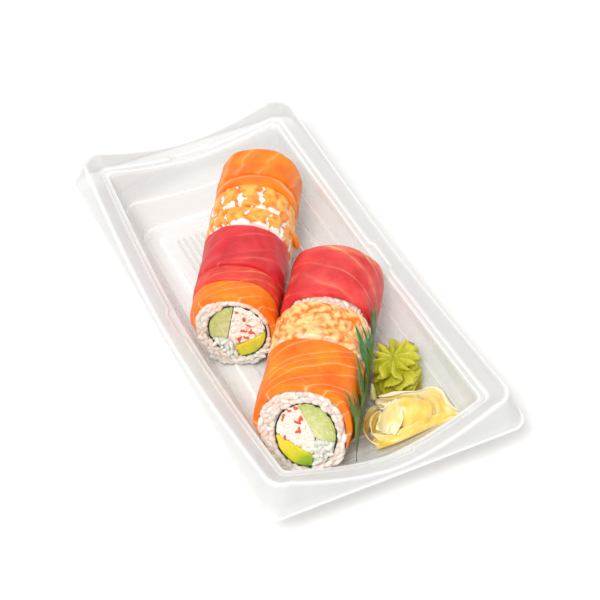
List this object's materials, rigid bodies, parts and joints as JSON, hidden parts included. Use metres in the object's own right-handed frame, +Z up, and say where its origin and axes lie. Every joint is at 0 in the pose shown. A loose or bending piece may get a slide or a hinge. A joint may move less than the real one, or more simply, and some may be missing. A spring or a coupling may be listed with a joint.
{
  "type": "takeaway sushi tray",
  "caption": "Clear open plastic tray with upswept corners holding fish-topped sushi rolls, piped wasabi, pickled ginger and a leaf divider.",
  "frame": {"origin": "centre of the tray's footprint, at the underside of its floor", "axes": "+Y along the tray's length, away from the cut front of the near roll; +Z up"},
  "size_m": [0.12, 0.24, 0.0437],
  "materials": {
    "clear_plastic": "clear thermoformed sheet, glossy",
    "rice": "cooked rice, moist and slightly translucent",
    "nori": "dark seaweed sheet, matte",
    "cucumber": "cut cucumber, wet, pale green",
    "avocado": "ripe avocado, yellow to green",
    "crab": "shredded crab stick, white with orange flecks",
    "salmon": "raw salmon with pale marbling, moist",
    "tuna": "raw tuna, red, moist",
    "shrimp": "cooked prawn, white with orange segments",
    "wasabi": "piped wasabi paste",
    "ginger": "pickled ginger slices, wet and translucent",
    "green_plastic": "thin green plastic sheet"
  },
  "bodies": {
    "root": {"tray": "clear_plastic", "roll_a_rice": "rice", "roll_a_nori": "nori", "roll_a_cucumber": "cucumber", "roll_a_avocado": "avocado", "roll_a_crab": "crab", "roll_a_salmon_front": "salmon", "roll_a_tuna_front": "tuna", "roll_a_tuna_back": "tuna", "roll_a_shrimp_front": "shrimp", "roll_a_shrimp_back": "shrimp", "roll_a_salmon_middle": "salmon", "roll_a_salmon_back": "salmon", "roll_b_rice": "rice", "roll_b_nori": "nori", "roll_b_cucumber": "cucumber", "roll_b_avocado": "avocado", "roll_b_crab": "crab", "roll_b_salmon": "salmon", "roll_b_shrimp": "shrimp", "roll_b_tuna": "tuna", "roll_b_tuna_scrap": "tuna", "wasabi": "wasabi", "ginger_base": "ginger", "ginger_fold": "ginger", "ginger_crown": "ginger", "ginger_back": "ginger", "leaf_divider": "green_plastic"}
  },
  "joints": []
}
